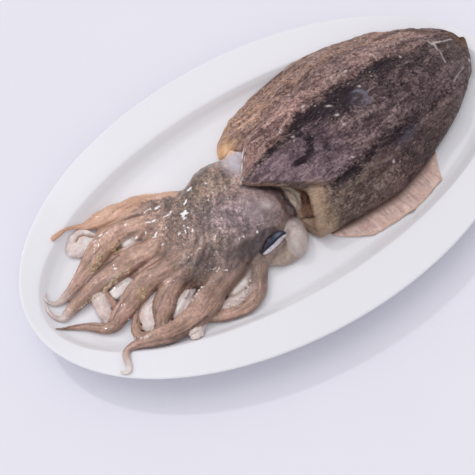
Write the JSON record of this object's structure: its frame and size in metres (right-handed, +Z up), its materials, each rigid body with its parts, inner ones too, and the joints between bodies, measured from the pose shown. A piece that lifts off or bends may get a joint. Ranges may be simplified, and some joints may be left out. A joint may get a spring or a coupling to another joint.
{
  "type": "whole raw cuttlefish on an oval platter",
  "caption": "Limp raw cuttlefish with mantle, fins, head, eye and curling arms, lying flat on its white oval serving platter.",
  "frame": {"origin": "centre of the platter in plan, on the plane its foot ring stands on", "axes": "+X along the platter's long axis towards the end where the mantle's tail lies, +Z up, +Y towards the far side of the platter as the picture shows it"},
  "size_m": [0.4, 0.233, 0.0459],
  "materials": {
    "cuttlefish_skin": "gloss",
    "white_glaze": "gloss"
  },
  "bodies": {
    "root": {"cuttlefish": "cuttlefish_skin", "platter": "white_glaze"}
  },
  "joints": []
}
